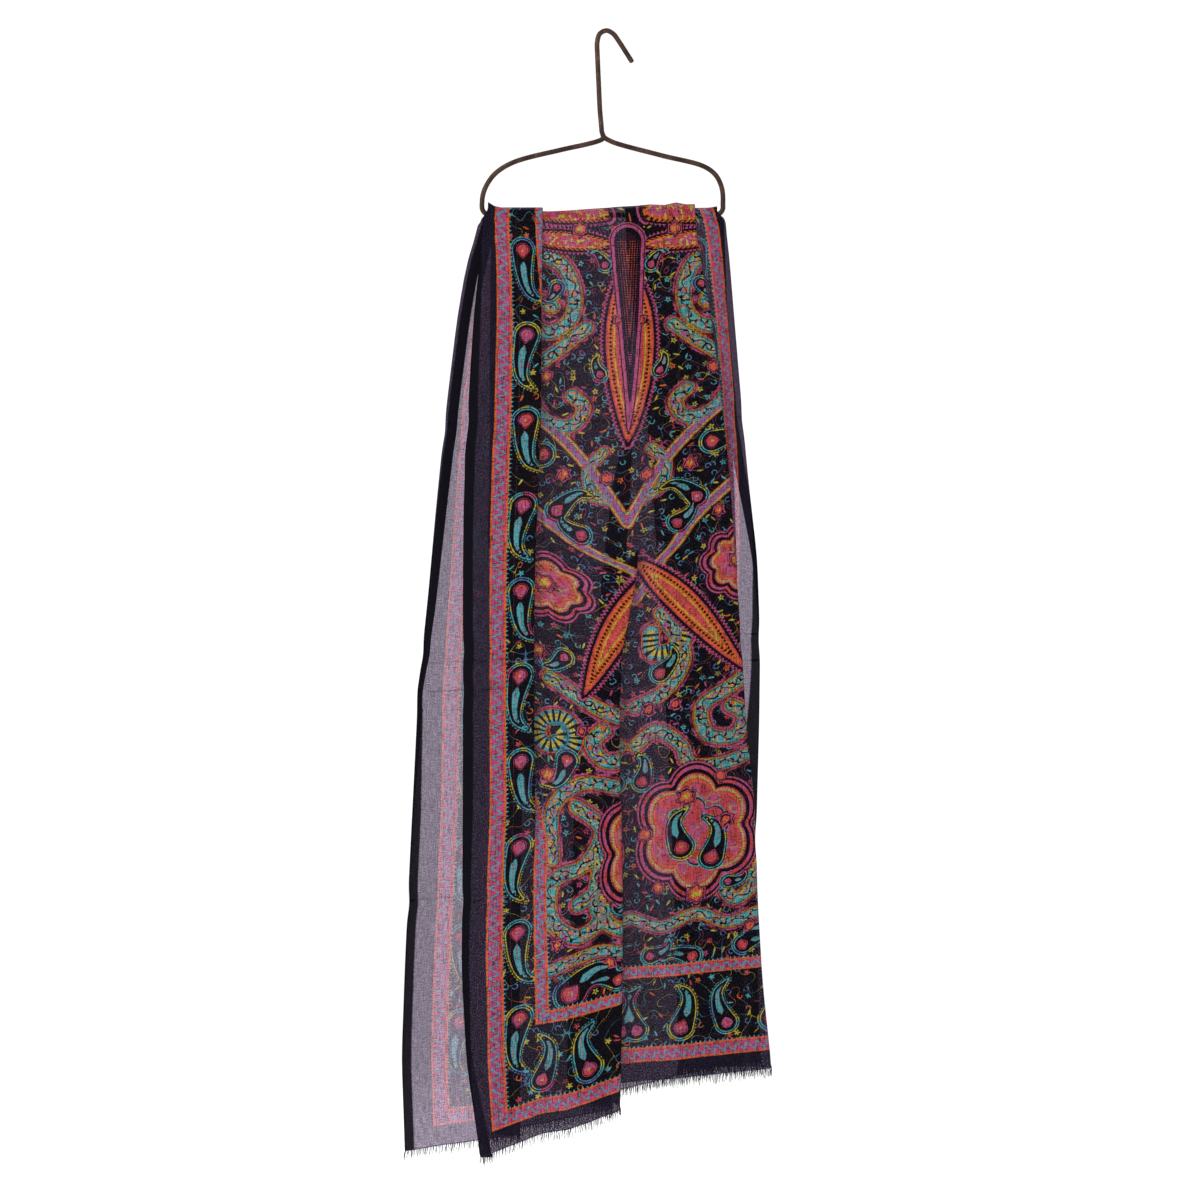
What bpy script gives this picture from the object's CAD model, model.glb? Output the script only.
import math

import bpy
import numpy as np
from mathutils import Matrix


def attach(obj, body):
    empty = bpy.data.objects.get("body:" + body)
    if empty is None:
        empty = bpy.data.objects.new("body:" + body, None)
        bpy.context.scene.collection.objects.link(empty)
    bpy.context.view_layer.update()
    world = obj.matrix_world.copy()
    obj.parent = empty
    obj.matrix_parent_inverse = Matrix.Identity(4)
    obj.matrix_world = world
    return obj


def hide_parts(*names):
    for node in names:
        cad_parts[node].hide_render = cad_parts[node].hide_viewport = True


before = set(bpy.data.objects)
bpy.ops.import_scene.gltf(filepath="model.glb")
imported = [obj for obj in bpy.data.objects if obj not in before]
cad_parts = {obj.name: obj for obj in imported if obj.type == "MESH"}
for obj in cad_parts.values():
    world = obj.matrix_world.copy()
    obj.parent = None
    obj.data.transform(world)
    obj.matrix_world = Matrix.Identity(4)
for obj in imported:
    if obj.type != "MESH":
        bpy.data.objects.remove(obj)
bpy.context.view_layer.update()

MM = 0.001
# The flat oblong in millimetres. Its cross middle line lies over the bar.
WIDTH, LENGTH, MIDDLE = 550.0, 1950.0, 975.0
STRETCHES = ("border_left", "field_left", "field_right", "border_right")

bl_info = {
    "name": "Printed scarf on a wire hanger",
    "version": (1, 0, 0),
    "blender": (4, 5, 0),
    "location": "3D View > Sidebar > Scarf",
    "description": "Dresses the folded gauze scarf, its fringe and its hanger",
    "category": "Object",
}


def size_setting(name, description, size):
    return bpy.props.FloatProperty(name=name, description=description, default=size, unit="LENGTH")


class ScarfSizes(bpy.types.PropertyGroup):
    """Sizes of the cloth"""
    width: size_setting("Width", "Scarf across, selvedge to selvedge", WIDTH * MM)
    length: size_setting("Length", "Scarf from hem to hem without its fringe", LENGTH * MM)
    strand_length: size_setting("Fringe length", "Longest loose end below the hem", 0.0105)
    strand_radius: size_setting("Strand radius", "Half the thickness of a loose end", 0.00042)
    strand_spacing: size_setting("Strand spacing", "Step between loose ends along the hem", 0.0011)


def ink(code):
    """Linear colour of a six figure colour code"""
    parts = [int(code[i:i + 2], 16) / 255 for i in (1, 3, 5)]
    return tuple(p / 12.92 if p <= 0.04045 else ((p + 0.055) / 1.055) ** 2.4 for p in parts)


def colour_setting(name, description, colour):
    return bpy.props.FloatVectorProperty(
        name=name, description=description, subtype="COLOR", size=3, min=0, max=1, default=colour)


def ink_setting(name, description, code):
    return colour_setting(name, description, ink(code))


class ScarfColours(bpy.types.PropertyGroup):
    """Colours of the print"""
    ground: ink_setting("Ground", "Near black ground of the print", "#09080d")
    plum: ink_setting("Plum", "Plain sheer margins", "#191422")
    navy: ink_setting("Navy", "Dense woven selvedge", "#08080e")
    pink: ink_setting("Pink", "Magenta pink of the botehs and stripes", "#a1466a")
    red: ink_setting("Red", "Coral red fillings", "#b03f48")
    orange: ink_setting("Orange", "Orange leaves and stripe edges", "#bf5828")
    teal: ink_setting("Teal", "Teal outlines and zigzags", "#488f97")
    yellow: ink_setting("Yellow", "Yellow green sprigs", "#a89a38")
    blue: ink_setting("Blue", "Grey blue fine lines", "#4f6f96")
    maroon: ink_setting("Maroon", "Dark wine filling", "#2c0d1a")


class HangerSizes(bpy.types.PropertyGroup):
    """Sizes of the hanger"""
    wire: size_setting("Wire", "Diameter of the wire", 0.0052)
    colour: colour_setting("Wire colour", "Bronze brown lacquer", (0.046, 0.021, 0.013))


# ---------------------------------------------------------------- shader helper


class Sock:
    """A socket that takes part in Python expressions"""

    def __init__(self, mat, socket):
        self.mat, self.socket = mat, socket

    def _math(self, op, *values):
        return self.mat.node("ShaderNodeMath", {"operation": op}, dict(enumerate(values)))

    def __add__(self, o): return self._math("ADD", self, o)
    def __radd__(self, o): return self._math("ADD", o, self)
    def __sub__(self, o): return self._math("SUBTRACT", self, o)
    def __rsub__(self, o): return self._math("SUBTRACT", o, self)
    def __mul__(self, o): return self._math("MULTIPLY", self, o)
    def __rmul__(self, o): return self._math("MULTIPLY", o, self)
    def __truediv__(self, o): return self._math("DIVIDE", self, o)
    def __mod__(self, o): return self._math("FLOORED_MODULO", self, o)
    def __abs__(self): return self._math("ABSOLUTE", self)
    def min(self, o): return self._math("MINIMUM", self, o)
    def max(self, o): return self._math("MAXIMUM", self, o)
    def sin(self): return self._math("SINE", self)
    def cos(self): return self._math("COSINE", self)
    def sqrt(self): return self._math("SQRT", self)
    def atan2(self, o): return self._math("ARCTAN2", self, o)

    def wave(self, period):
        """Rises from 0 to half the period and falls again"""
        return self._math("PINGPONG", self, period / 2)

    def under(self, edge, soft=0.3):
        """1 below the edge, 0 above it, with a soft step"""
        return self.mat.step(self, edge + soft, edge - soft)

    def over(self, edge, soft=0.3):
        """0 below the edge, 1 above it"""
        return self.mat.step(self, edge - soft, edge + soft)

    def within(self, low, high, soft=0.3):
        """1 between two edges"""
        return self.over(low, soft) * self.under(high, soft)


class Finish:
    """A material and the few ways its nodes are added"""

    def __init__(self, name):
        self.material = bpy.data.materials.new(name)
        self.material.use_nodes = True
        self.tree = self.material.node_tree
        self.shader = self.tree.nodes["Principled BSDF"]

    def put(self, socket, value):
        if isinstance(value, Sock):
            self.tree.links.new(value.socket, socket)
        elif isinstance(value, tuple) and socket.type == "RGBA" and len(value) == 3:
            socket.default_value = value + (1.0,)
        else:
            socket.default_value = value

    def node(self, kind, settings=None, inputs=None, output=0):
        """Any node: its settings first, a ramp's stops among them, then its sockets"""
        node = self.tree.nodes.new(kind)
        for key, value in (settings or {}).items():
            if key == "stops":
                ramp = node.color_ramp
                ramp.interpolation = "CONSTANT"
                while len(ramp.elements) < len(value):
                    ramp.elements.new(0.5)
                for stop, (place, colour) in zip(ramp.elements, value):
                    stop.position = place
                    stop.color = tuple(colour) + (1.0,)
            else:
                setattr(node, key, value)
        for key, value in (inputs or {}).items():
            self.put(node.inputs[key], value)
        if isinstance(output, (list, tuple)):
            return [Sock(self, node.outputs[name]) for name in output]
        return Sock(self, node.outputs[output])

    def step(self, value, low, high):
        """0 at the low value and 1 at the high one"""
        return self.node("ShaderNodeMapRange", {"clamp": True}, {"Value": value, "From Min": low, "From Max": high})

    def mix(self, factor, a, b):
        return self.node("ShaderNodeMix", {"data_type": "RGBA"}, {0: factor, 6: a, 7: b}, 2)

    def layers(self, base, *drawings):
        """Each drawing's colour, laid through its mask on what is there"""
        for mask, colour in drawings:
            base = self.mix(mask, base, colour)
        return base

    def blend(self, factor, a, b):
        """A number between two numbers"""
        return self.node("ShaderNodeMix", {"data_type": "FLOAT"}, {0: factor, 2: a, 3: b}, 0)

    def split(self, vector):
        return self.node("ShaderNodeSeparateXYZ", None, {0: vector}, [0, 1, 2])

    def attribute(self, name):
        return self.split(self.node("ShaderNodeAttribute", {"attribute_name": name}, None, "Vector"))

    def uv(self, name):
        return self.split(self.node("ShaderNodeUVMap", {"uv_map": name}))

    def kinds(self, kind):
        """Masks of the second and of the third kind, which are numbered from 0"""
        return kind.within(0.6, 1.4, 0.1), kind.over(1.5, 0.1)

    def place(self, x, y):
        return self.node("ShaderNodeCombineXYZ", None, {0: x, 1: y})

    def where(self):
        """The place on the object, in metres"""
        return self.node("ShaderNodeTexCoord", None, None, "Object")

    def noise(self, place, scale, detail=2.0, flat=True):
        return self.node("ShaderNodeTexNoise", {"noise_dimensions": "2D" if flat else "3D"},
                         {"Vector": place, "Scale": scale, "Detail": detail})

    def let_light_through(self, dense, tint):
        """Tinted light passes wherever the cloth isn't dense"""
        clear = self.node("ShaderNodeBsdfTransparent", None, {"Color": tint})
        cloth = Sock(self, self.shader.outputs[0])
        both = self.node("ShaderNodeMixShader", None, {0: dense, 1: clear, 2: cloth})
        self.put(self.tree.nodes["Material Output"].inputs["Surface"], both)

    def palette(self, value, *colours):
        stops = [(i / len(colours), colour) for i, colour in enumerate(colours)]
        return self.node("ShaderNodeValToRGB", {"stops": stops}, {0: value})

    def bump(self, height, distance, strength=1.0):
        return self.node("ShaderNodeBump", None,
                         {"Height": height, "Distance": distance, "Strength": strength})

    def finish(self, **sockets):
        for key, value in sockets.items():
            self.put(self.shader.inputs[key.replace("_", " ")], value)
        return self.material


# ---------------------------------------------------------------- the cloth's form, in millimetres

BAR_Z = -187.5
TOP_Z = -181.3
LEG = 6.0
OVER_BAR = 12.0  # half the cloth between the two seams over the bar
SEAM_Z = -193.8
CLAMP_LEFT, CLAMP_RIGHT = -121.5, 114.5

# Shares of the drop, and there the places of the edges and folds and what each pleat hides, in millimetres.
COLUMNS = ("at", "left", "fold1", "tuck1", "fold2", "tuck2", "fold3", "tuck3", "right")
FRONT = (
    (0.00, -126.7, -64.9, 52, 41.2, 0, 91.7, 72, 122.6),
    (0.04, -129.3, -65.9, 52, 41.2, 0, 95.8, 72, 126.7),
    (0.10, -135.7, -65.9, 52, 41.2, 0, 106.1, 70, 130.8),
    (0.20, -141.6, -66.3, 51.5, 41.2, 0, 117.9, 67, 138.0),
    (0.30, -146.0, -69.5, 51, 40.2, 0, 126.7, 66, 145.7),
    (0.36, -146.6, -72.0, 50, 36.0, 3, 130.5, 67, 151.5),
    (0.40, -146.8, -73.1, 42, 31.9, 14, 132.9, 69, 155.5),
    (0.50, -146.8, -74.2, 18, 14.4, 34, 139.0, 70, 158.6),
    (0.60, -146.8, -73.1, 13, 14.1, 44, 144.2, 71, 157.6),
    (0.70, -147.3, -70.0, 6, 16.5, 50, 153.5, 72, 155.2),
    (0.80, -148.3, -66.0, -9, 17.5, 54, 155.5, 71, 154.0),
    (0.90, -143.2, -62.0, -16, 16.5, 55, 160.7, 70, 156.0),
    (1.00, -128.8, -58.0, -18, 14.4, 55, 170.0, 70, 159.6),
)
BACK = (
    (0.00, -129.8, -64.9, 52, 41.2, 0, 91.7, 72, 121.6),
    (0.04, -143.2, -67.0, 52, 40.0, 0, 94.0, 72, 123.0),
    (0.10, -153.5, -70.0, 50, 36.0, 0, 97.0, 70, 125.0),
    (0.20, -165.3, -74.0, 46, 30.0, 4, 100.0, 60, 129.0),
    (0.30, -175.1, -78.0, 42, 25.0, 18, 103.0, 56, 132.0),
    (0.40, -183.9, -81.0, 38, 20.0, 24, 105.0, 52, 135.0),
    (0.50, -194.2, -84.0, 35, 16.0, 27, 106.0, 48, 137.0),
    (0.60, -198.8, -86.0, 33, 13.0, 29, 107.0, 44, 139.0),
    (0.70, -203.6, -88.0, 31, 10.0, 31, 108.0, 41, 140.0),
    (0.80, -208.1, -89.0, 30, 8.0, 32, 109.0, 38, 141.0),
    (0.90, -211.5, -89.0, 30, 7.0, 33, 109.5, 36, 142.0),
    (1.00, -208.1, -88.5, 30, 6.0, 33, 110.0, 36, 142.0),
)
HEM_COLUMNS = ("left", "fold1", "under1", "fold2", "under2", "fold3", "under3", "right")
FRONT_HEM = dict(zip(HEM_COLUMNS, (974, 950, 946, 927, 905, 883, 880, 878)))
BACK_HEM = dict(zip(HEM_COLUMNS, (973, 956, 952, 931, 917, 888, 886, 884)))
# Shares of the drop, and there the depth of the inner layer and the step to the next layer.
DEPTH = ((0.00, 3.5, 2.0), (0.04, 4.6, 2.8), (0.10, 5.8, 3.6), (0.20, 6.8, 4.4), (0.40, 7.2, 5.0), (1.00, 7.2, 5.0))
# How far the cloth rides up over the bar, by its place across.
SLACK = ((-121.5, 6.0), (-115, 2.0), (-108, 0.4), (0, 0.4), (30, 2.0), (45, 3.6), (60, 3.0),
         (72, 5.6), (83, 3.6), (95, 4.0), (106, 4.2), (114.5, 5.6))

# Where known lines of the print lie on the front half: millimetres from the left selvedge,
# at the left edge, the first fold, the field beside it, the second fold, the field beside it,
# the third fold, the border beside it and the right edge.
PRINT_COLUMNS = ("at", "left", "fold1", "field1", "fold2", "field2", "fold3", "border", "right")
FRONT_PRINT = (
    (0.00, 15.0, 82.0, 185.0, 294.0, 295.0, 346.0, 495.0, 531.0),
    (0.04, 8.0, 78.0, 185.5, 293.0, 294.0, 348.0, 494.5, 531.0),
    (0.10, 3.0, 71.5, 186.0, 291.0, 292.0, 354.0, 498.0, 533.0),
    (0.20, 1.0, 70.5, 186.5, 288.0, 289.0, 363.5, 503.0, 533.5),
    (0.28, 0.8, 70.0, 186.5, 284.0, 285.0, 375.0, 507.5, 536.0),
    (0.36, 0.8, 69.5, 184.0, 274.0, 279.0, 379.5, 514.0, 542.0),
    (0.42, 0.0, 69.5, 142.0, 232.0, 270.0, 382.5, 520.0, 546.0),
    (0.52, 0.0, 69.5, 103.0, 190.0, 267.0, 390.0, 528.0, 550.0),
    (0.62, 0.0, 69.5, 89.0, 172.0, 267.0, 398.5, 543.0, 550.0),
    (0.72, 2.0, 70.5, 80.0, 162.0, 267.0, 404.0, 548.0, 550.0),
    (0.86, 4.0, 72.6, 73.0, 157.0, 267.0, 411.0, 548.5, 550.0),
    (1.00, 13.0, 72.6, 73.0, 155.0, 267.0, 419.0, 549.0, 550.0),
)


def smooth(k):
    k = min(1.0, max(0.0, k))
    return k * k * (3 - 2 * k)


def lookup(table, column, value):
    return float(np.interp(value, [r[0] for r in table], [r[column] for r in table]))


def rounded(table, columns, at):
    """A table's row at a share of the drop, rounded through its neighbours"""
    out = {}
    for i, name in enumerate(columns[1:], 1):
        near = [lookup(table, i, at + step) for step in (-0.02, 0.0, 0.02)]
        out[name] = near[1] if at <= 0 or at >= 1 else (near[0] + 2 * near[1] + near[2]) / 4
    return out


# Steps across: in a half turn, in a hidden layer and in each stretch of a section.
TURN = 6
LAYER = 6
BORDER_STEPS = 26
HIDDEN_STEPS = 8
SHOWN_STEPS = 41
LAST_STEPS = 10
FLAP_STEPS = 4
FLAP_LIFT = 0.9
EDGE_CURL = 1.6


def pleat(fold, under, shut, dip, drop_fold, drop_under, outer, mid, inner):
    """Points of one knife pleat: half turn, hidden layer running back, half turn"""
    r = (outer - inner) / 4
    closed = [(fold - r + r * math.sin(math.pi * i / TURN), (outer + mid) / 2 + r * math.cos(math.pi * i / TURN))
              for i in range(TURN + 1)]
    closed += [(fold - r + (under - fold + 2 * r) * i / LAYER, mid) for i in range(1, LAYER)]
    closed += [(under + r - r * math.sin(math.pi * i / TURN), (mid + inner) / 2 + r * math.cos(math.pi * i / TURN))
               for i in range(TURN + 1)]
    slope_from, slope_to = fold - 8, max(under, fold + 14)
    points = []
    for i, (x, d) in enumerate(closed):
        k = i / (len(closed) - 1)
        low = dip * (1 - shut) * math.sin(math.pi * k) ** 2
        points.append((
            x * shut + (slope_from + (slope_to - slope_from) * k) * (1 - shut),
            d * shut + (outer + (inner - outer) * smooth(k) - low) * (1 - shut),
            drop_fold + (drop_under - drop_fold) * k))
    return points


def on_the_way(first, last, k, depth):
    """A point at a share of the way between two others, at its own depth"""
    return first[0] + (last[0] - first[0]) * k, depth, first[2] + (last[2] - first[2]) * k


def two_paces(turn, before, after):
    """Shares of a way, in one pace up to a turning place and in another after it"""
    return ([turn * i / before for i in range(1, before + 1)]
            + [turn + (1 - turn) * i / after for i in range(1, after + 1)])


def section(table, hem, at, wave, turned):
    """One level section of a half: its points (x, depth, drop), the marks where the print is known, and how
    far each pleat is shut. turned is how much of each selvedge is turned under"""
    c = rounded(table, COLUMNS, at)
    inner, pitch = lookup(DEPTH, 1, at), lookup(DEPTH, 2, at)
    outer = inner + 2 * pitch
    grow = smooth(at / 0.25)
    shut = [smooth(c[f"tuck{n}"] / 14) for n in (1, 2, 3)]
    low = [outer + (inner - outer) * k for k in shut]
    under = [c[f"fold{n}"] - c[f"tuck{n}"] for n in (1, 2, 3)]
    valley = min(2.6, max(0.0, pitch - 1.9))
    pleats = [pleat(c[f"fold{n + 1}"], under[n], shut[n], valley if n == 1 else 0.0, hem[f"fold{n + 1}"],
                    hem[f"under{n + 1}"], outer, (outer + low[n]) / 2, low[n]) for n in (0, 1, 2)]

    # The turned-under left selvedge and the left border
    edge = (c["left"], outer - EDGE_CURL * grow, hem["left"])
    points = [(edge[0] + turned[0] * (1 - i / FLAP_STEPS), edge[1] - FLAP_LIFT * (1 - (i / FLAP_STEPS) ** 3), edge[2])
              for i in range(FLAP_STEPS)]
    marks = [0, FLAP_STEPS]
    for k in np.arange(BORDER_STEPS) / BORDER_STEPS:
        curl = (1 - smooth(k / 0.3)) * EDGE_CURL * grow
        ripple = wave[0] * grow * math.sin(math.pi * 1.5 * k) * (1 - k)
        points.append(on_the_way(edge, pleats[0][0], k, outer - curl + ripple))

    # Two pleats, each with the stretch of the field after it
    for n in (0, 1):
        marks.append(len(points))
        points += pleats[n]
        marks.append(len(points) + HIDDEN_STEPS - 1)
        first, last = pleats[n][-1], pleats[n + 1][0]
        width = last[0] - first[0]
        begin = max(0.08, min(1.0, (c[f"fold{n + 1}"] - first[0]) / width))
        finish = max(begin + 0.05, min(1.0, (min(under[n + 1:]) - pitch - first[0]) / width))
        for k in two_paces(begin, HIDDEN_STEPS, SHOWN_STEPS)[:-1]:
            climb = smooth((k - begin) / (finish - begin))
            shown = min(1.0, max(0.0, (k - begin) / (1 - begin)))
            ripple = wave[n + 1] * grow * math.sin(math.pi * shown) ** 2 * math.sin(2.4 * math.pi * k + 5 * at)
            points.append(on_the_way(first, last, k, low[n] + (outer - low[n]) * climb + ripple))

    # The last pleat, the right border and its turned-under selvedge
    marks.append(len(points))
    points += pleats[2]
    marks.append(len(points) + LAST_STEPS - 1)
    first, last = pleats[2][-1], (c["right"], inner, hem["right"])
    over = min(0.97, max(0.03, (c["fold3"] - first[0]) / (last[0] - first[0])))
    points += [on_the_way(first, last, k, inner) for k in two_paces(over, LAST_STEPS, LAST_STEPS)]
    marks.append(len(points) - 1)
    for i in range(1, FLAP_STEPS + 1):
        k = i / FLAP_STEPS
        points.append((last[0] - turned[1] * k, inner - FLAP_LIFT * (1 - (1 - k) ** 3), last[2]))
    return np.array(points), marks + [len(points) - 1], shut


def across(points, marks, shut, table, at, turned):
    """How far each point lies from the left selvedge on the flat cloth"""
    steps = np.hypot(np.diff(points[:, 0]), np.diff(points[:, 1]))
    run = np.concatenate([[0.0], np.cumsum(steps)])
    if table is None:
        ends = [0, marks[1], marks[-2], marks[-1]]
        return np.interp(run, run[ends], [0.0, turned[0], WIDTH - turned[1], WIDTH])
    known = rounded(table, PRINT_COLUMNS, at)
    places = np.array([0.0] + [known[name] for name in PRINT_COLUMNS[1:]] + [WIDTH])
    stops = run[marks]
    for first, share in ((2, shut[0]), (4, shut[1])):
        ends = [first - 1, first + 2]
        loose = np.interp(stops[first:first + 2], stops[ends], places[ends])
        places[first:first + 2] = places[first:first + 2] * share + loose * (1 - share)
    return np.interp(run, stops, places)


BACK_TURNED = ((0.00, 14.0), (0.20, 13.0), (0.32, 11.0), (0.42, 9.0), (0.52, 5.0), (0.64, 1.5), (1.00, 0.8))


def turned_under(side, at):
    """How much of the left and of the right selvedge is turned under, as the print's places say"""
    if side > 0:
        return lookup(BACK_TURNED, 1, at), max(0.8, 8.0 * (1 - 2 * at))
    known = rounded(FRONT_PRINT, PRINT_COLUMNS, at)
    return max(0.8, known["left"]), max(0.8, WIDTH - known["right"])


# Each half's folds, its hem, the height of its slack waves and the known places of its print.
HALVES = {-1: (FRONT, FRONT_HEM, (1.4, 2.2, 2.0), FRONT_PRINT), 1: (BACK, BACK_HEM, (1.6, 1.8, 1.8), None)}


def level(side, at):
    """One level section of a half, and how far its points lie from the left selvedge on the flat cloth"""
    table, hem, wave, known = HALVES[side]
    turned = turned_under(side, at)
    points, marks, shut = section(table, hem, at, wave, turned)
    return points, across(points, marks, shut, known, at, turned)


def falls(side, shares):
    """Rows of one half: positions in millimetres and places on the flat cloth"""
    rows, flat = [], []
    for at in shares:
        points, u = level(side, at)
        z = SEAM_Z + (TOP_Z - points[:, 2] - SEAM_Z) * at
        rows.append(np.stack([points[:, 0], side * points[:, 1], z], 1))
        reach = OVER_BAR + (MIDDLE - OVER_BAR) * at
        flat.append(np.stack([u, np.full(len(u), MIDDLE + side * reach)], 1))
    return np.array(rows), np.array(flat)


def turn_over_bar(steps):
    """Rows of the turn over the bar, from the front leg to the back leg"""
    points, u = level(-1, 0.0)
    behind, v = level(1, 0.0)
    rise = np.interp(points[:, 0], [s[0] for s in SLACK], [s[1] for s in SLACK])
    pinched = np.clip(points[:, 0], CLAMP_LEFT, CLAMP_RIGHT)
    rows, flat = [], []
    for i in range(1, steps):
        turn = math.pi * i / steps
        over = smooth(math.sin(turn) * 1.5)
        share = i / steps
        x = (points[:, 0] * (1 - share) + behind[:, 0] * share) * (1 - over) + pinched * over
        leg = LEG * max(0.0, abs(1 - 2 * share) * 1.6 - 0.6)
        rows.append(np.stack([x, -points[:, 1] * math.cos(turn),
                              BAR_Z - leg + (points[:, 1] + rise) * math.sin(turn)], 1))
        flat.append(np.stack([u * (1 - share) + v * share, np.full(len(x), MIDDLE + OVER_BAR * (2 * share - 1))], 1))
    return np.array(rows), np.array(flat)


def creased(rows, side):
    """Soft storage creases, skew drag lines and kinked edges on one half"""
    x, y, z = rows[..., 0].copy(), rows[..., 1].copy(), rows[..., 2].copy()
    fade = np.clip((-205 - z) / 60, 0, 1)
    push = np.zeros_like(x)
    for height, slope, depth, width, centre, reach in CREASES[side]:
        away = (z - height - slope * (x - centre)) / width
        along = np.exp(-((x - centre) / reach) ** 2)
        push += depth * along * np.exp(-away ** 2) * (1 - 1.2 * away)
    for phase, lean, step, depth in ((0.4, 0.05, 47.0, 0.8), (2.1, -0.09, 83.0, 1.1), (4.0, 0.16, 131.0, 1.0)):
        push += depth * np.sin(2 * math.pi * (x + lean * z) / step + phase + 0.9 * np.sin(z / 70 + phase))
    y += side * push * fade
    for height, amount, width, edge in KINKS[side]:
        near = np.exp(-((x - edge) / 34) ** 2) * np.exp(-((z - height) / width) ** 2)
        x += amount * near
    return np.stack([x, y, z], -1)


# Creases: height, slope, depth, half width, middle and half length, in millimetres.
CREASES = {
    -1: ((-402, 0.05, 1.1, 7, -130, 60), (-402, -0.04, 1.2, 8, 120, 50), (-636, 0.08, 1.5, 8, -105, 60),
         (-640, -0.10, 1.2, 8, 90, 70), (-680, 0.16, 1.6, 9, -150, 60), (-618, -0.08, 1.3, 7, 150, 34),
         (-826, 0.04, 1.2, 9, 120, 70), (-893, 0.07, 1.3, 9, -120, 60), (-505, 0.12, 0.8, 14, 20, 70),
         (-760, -0.12, 0.9, 16, 60, 60), (-960, 0.10, 0.9, 15, -60, 60), (-318, 0.10, 0.8, 13, -20, 60)),
    1: ((-410, -0.05, 1.2, 8, -150, 60), (-640, 0.06, 1.5, 8, -170, 70), (-688, 0.10, 1.4, 9, 60, 70),
        (-898, -0.06, 1.3, 9, -160, 60), (-830, 0.05, 1.2, 9, 80, 60), (-540, 0.12, 0.9, 15, 0, 80),
        (-330, -0.08, 0.9, 13, 60, 60)),
}
# Kinks of the long edges: height, shift, half height and the edge's place.
KINKS = {
    -1: ((-402, 1.3, 14, -146), (-436, -0.8, 18, -146), (-636, 1.2, 12, -147), (-678, 1.0, 12, -147),
         (-893, 1.1, 13, -146), (-400, -1.0, 14, 146), (-625, -1.3, 15, 157), (-828, -1.4, 16, 157)),
    1: ((-410, 1.4, 14, -182), (-640, 1.3, 13, -200), (-680, -1.0, 15, -204), (-898, 1.5, 14, -210)),
}


def sleeve(base, rings, sides):
    """Faces round a tube whose rings of points start at base, closed at both ends"""
    faces = []
    for ring in range(base, base + (rings - 1) * sides, sides):
        for a in range(sides):
            b = (a + 1) % sides
            faces.append((ring + a, ring + sides + a, ring + sides + b, ring + b))
    last = base + (rings - 1) * sides
    return faces + [tuple(range(base, base + sides)), tuple(range(last, last + sides))[::-1]]


def one_mesh(name, points, faces):
    mesh = bpy.data.meshes.new(name)
    mesh.from_pydata([tuple(p) for p in points], [], [tuple(int(i) for i in f) for f in faces])
    mesh.update()
    piece = bpy.data.objects.new(name, mesh)
    bpy.context.scene.collection.objects.link(piece)
    return piece


def add_cloth_grid(name, rows, flat):
    """A level grid made with the grid primitive, then laid along the worked-out rows"""
    down, wide = rows.shape[0], rows.shape[1]
    bpy.ops.object.select_all(action="DESELECT")
    bpy.ops.mesh.primitive_grid_add(x_subdivisions=wide - 1, y_subdivisions=down - 1, size=1.0)
    piece = bpy.context.object
    piece.name = name
    mesh = piece.data
    mesh.name = name
    count = len(mesh.vertices)
    if count != down * wide:
        raise RuntimeError("the grid hasn't the worked-out number of points")
    mesh.vertices.foreach_set("co", (rows.reshape(-1, 3) * MM).astype(np.float32).ravel())
    layer = mesh.uv_layers.active or mesh.uv_layers.new(name="flat_cloth")
    layer.name = "flat_cloth"
    corner = np.zeros(len(mesh.loops), np.int32)
    mesh.loops.foreach_get("vertex_index", corner)
    places = (flat.reshape(-1, 2) / LENGTH).astype(np.float32)
    layer.data.foreach_set("uv", places[corner].ravel())
    mesh.update()
    bpy.ops.object.shade_smooth()
    return piece


def scarf_rows():
    """All rows of the scarf, from the front hem over the bar to the back hem"""
    shares = np.concatenate([np.linspace(0, 0.12, 33)[:-1], np.linspace(0.12, 1.0, 197)])
    front, front_flat = falls(-1, shares)
    back, back_flat = falls(1, shares)
    over, over_flat = turn_over_bar(22)
    rows = np.concatenate([creased(front, -1)[::-1], over, creased(back, 1)])
    return rows, np.concatenate([front_flat[::-1], over_flat, back_flat])


# ---------------------------------------------------------------- the print's own drawing, on the flat cloth
# Everything is drawn once, in millimetres: across is the distance from the scarf's long middle line and
# down is the distance from its cross middle line, which lies over the bar. The print is mirrored about both.


def curve(points, steps=7):
    """A rounded line through a few points"""
    p = np.array(points, float)
    out = []
    for i in range(len(p) - 1):
        a, b, c, d = p[max(0, i - 1)], p[i], p[i + 1], p[min(len(p) - 1, i + 2)]
        for k in np.arange(steps) / steps:
            out.append(0.5 * (2 * b + (c - a) * k + (2 * a - 5 * b + 4 * c - d) * k ** 2
                              + (3 * b - a - 3 * c + d) * k ** 3))
    return np.array(out + [p[-1]])


def spiral(across, down, first, last, start, turns, steps=26):
    """A curl from one radius to another"""
    k = np.arange(steps + 1) / steps
    angle = 2 * math.pi * (start + turns * k)
    radius = first + (last - first) * k
    return np.stack([across + radius * np.cos(angle), down + radius * np.sin(angle)], 1)


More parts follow.
